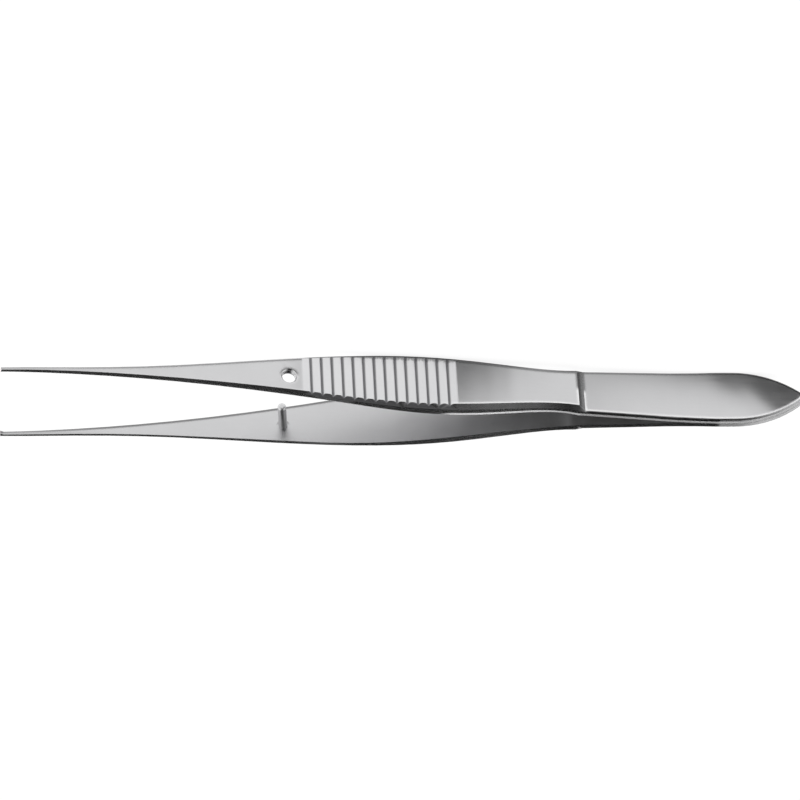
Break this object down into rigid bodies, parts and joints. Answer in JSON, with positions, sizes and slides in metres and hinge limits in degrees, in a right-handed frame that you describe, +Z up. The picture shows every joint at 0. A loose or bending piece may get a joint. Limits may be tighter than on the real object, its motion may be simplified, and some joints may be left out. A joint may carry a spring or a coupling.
{
  "type": "thumb forceps",
  "caption": "Fine sprung thumb forceps with toothed tips, ribbed bowed grip, guide pin and welded pointed butt.",
  "frame": {"origin": "middle of the footprint, on the table that the forceps lie on, on their side", "axes": "+X runs from the butt to the tips, +Y runs from the arm with the hole to the arm with the pin, +Z is up"},
  "size_m": [0.1002, 0.0156, 0.0076],
  "materials": {
    "satin_steel": "satin"
  },
  "bodies": {
    "pin_side": {"pin_arm": "satin_steel", "guide_pin": "satin_steel"},
    "hole_side": {"hole_arm": "satin_steel"}
  },
  "joints": [
    {"name": "arm_spring", "type": "hinge", "parent": "pin_side", "child": "hole_side", "pos_m": [-0.03079, 0, 0.00359], "axis": [-0.008, 0, 1], "range_deg": [0, 10.05], "stiffness_Nm_per_rad": 1.2}
  ]
}
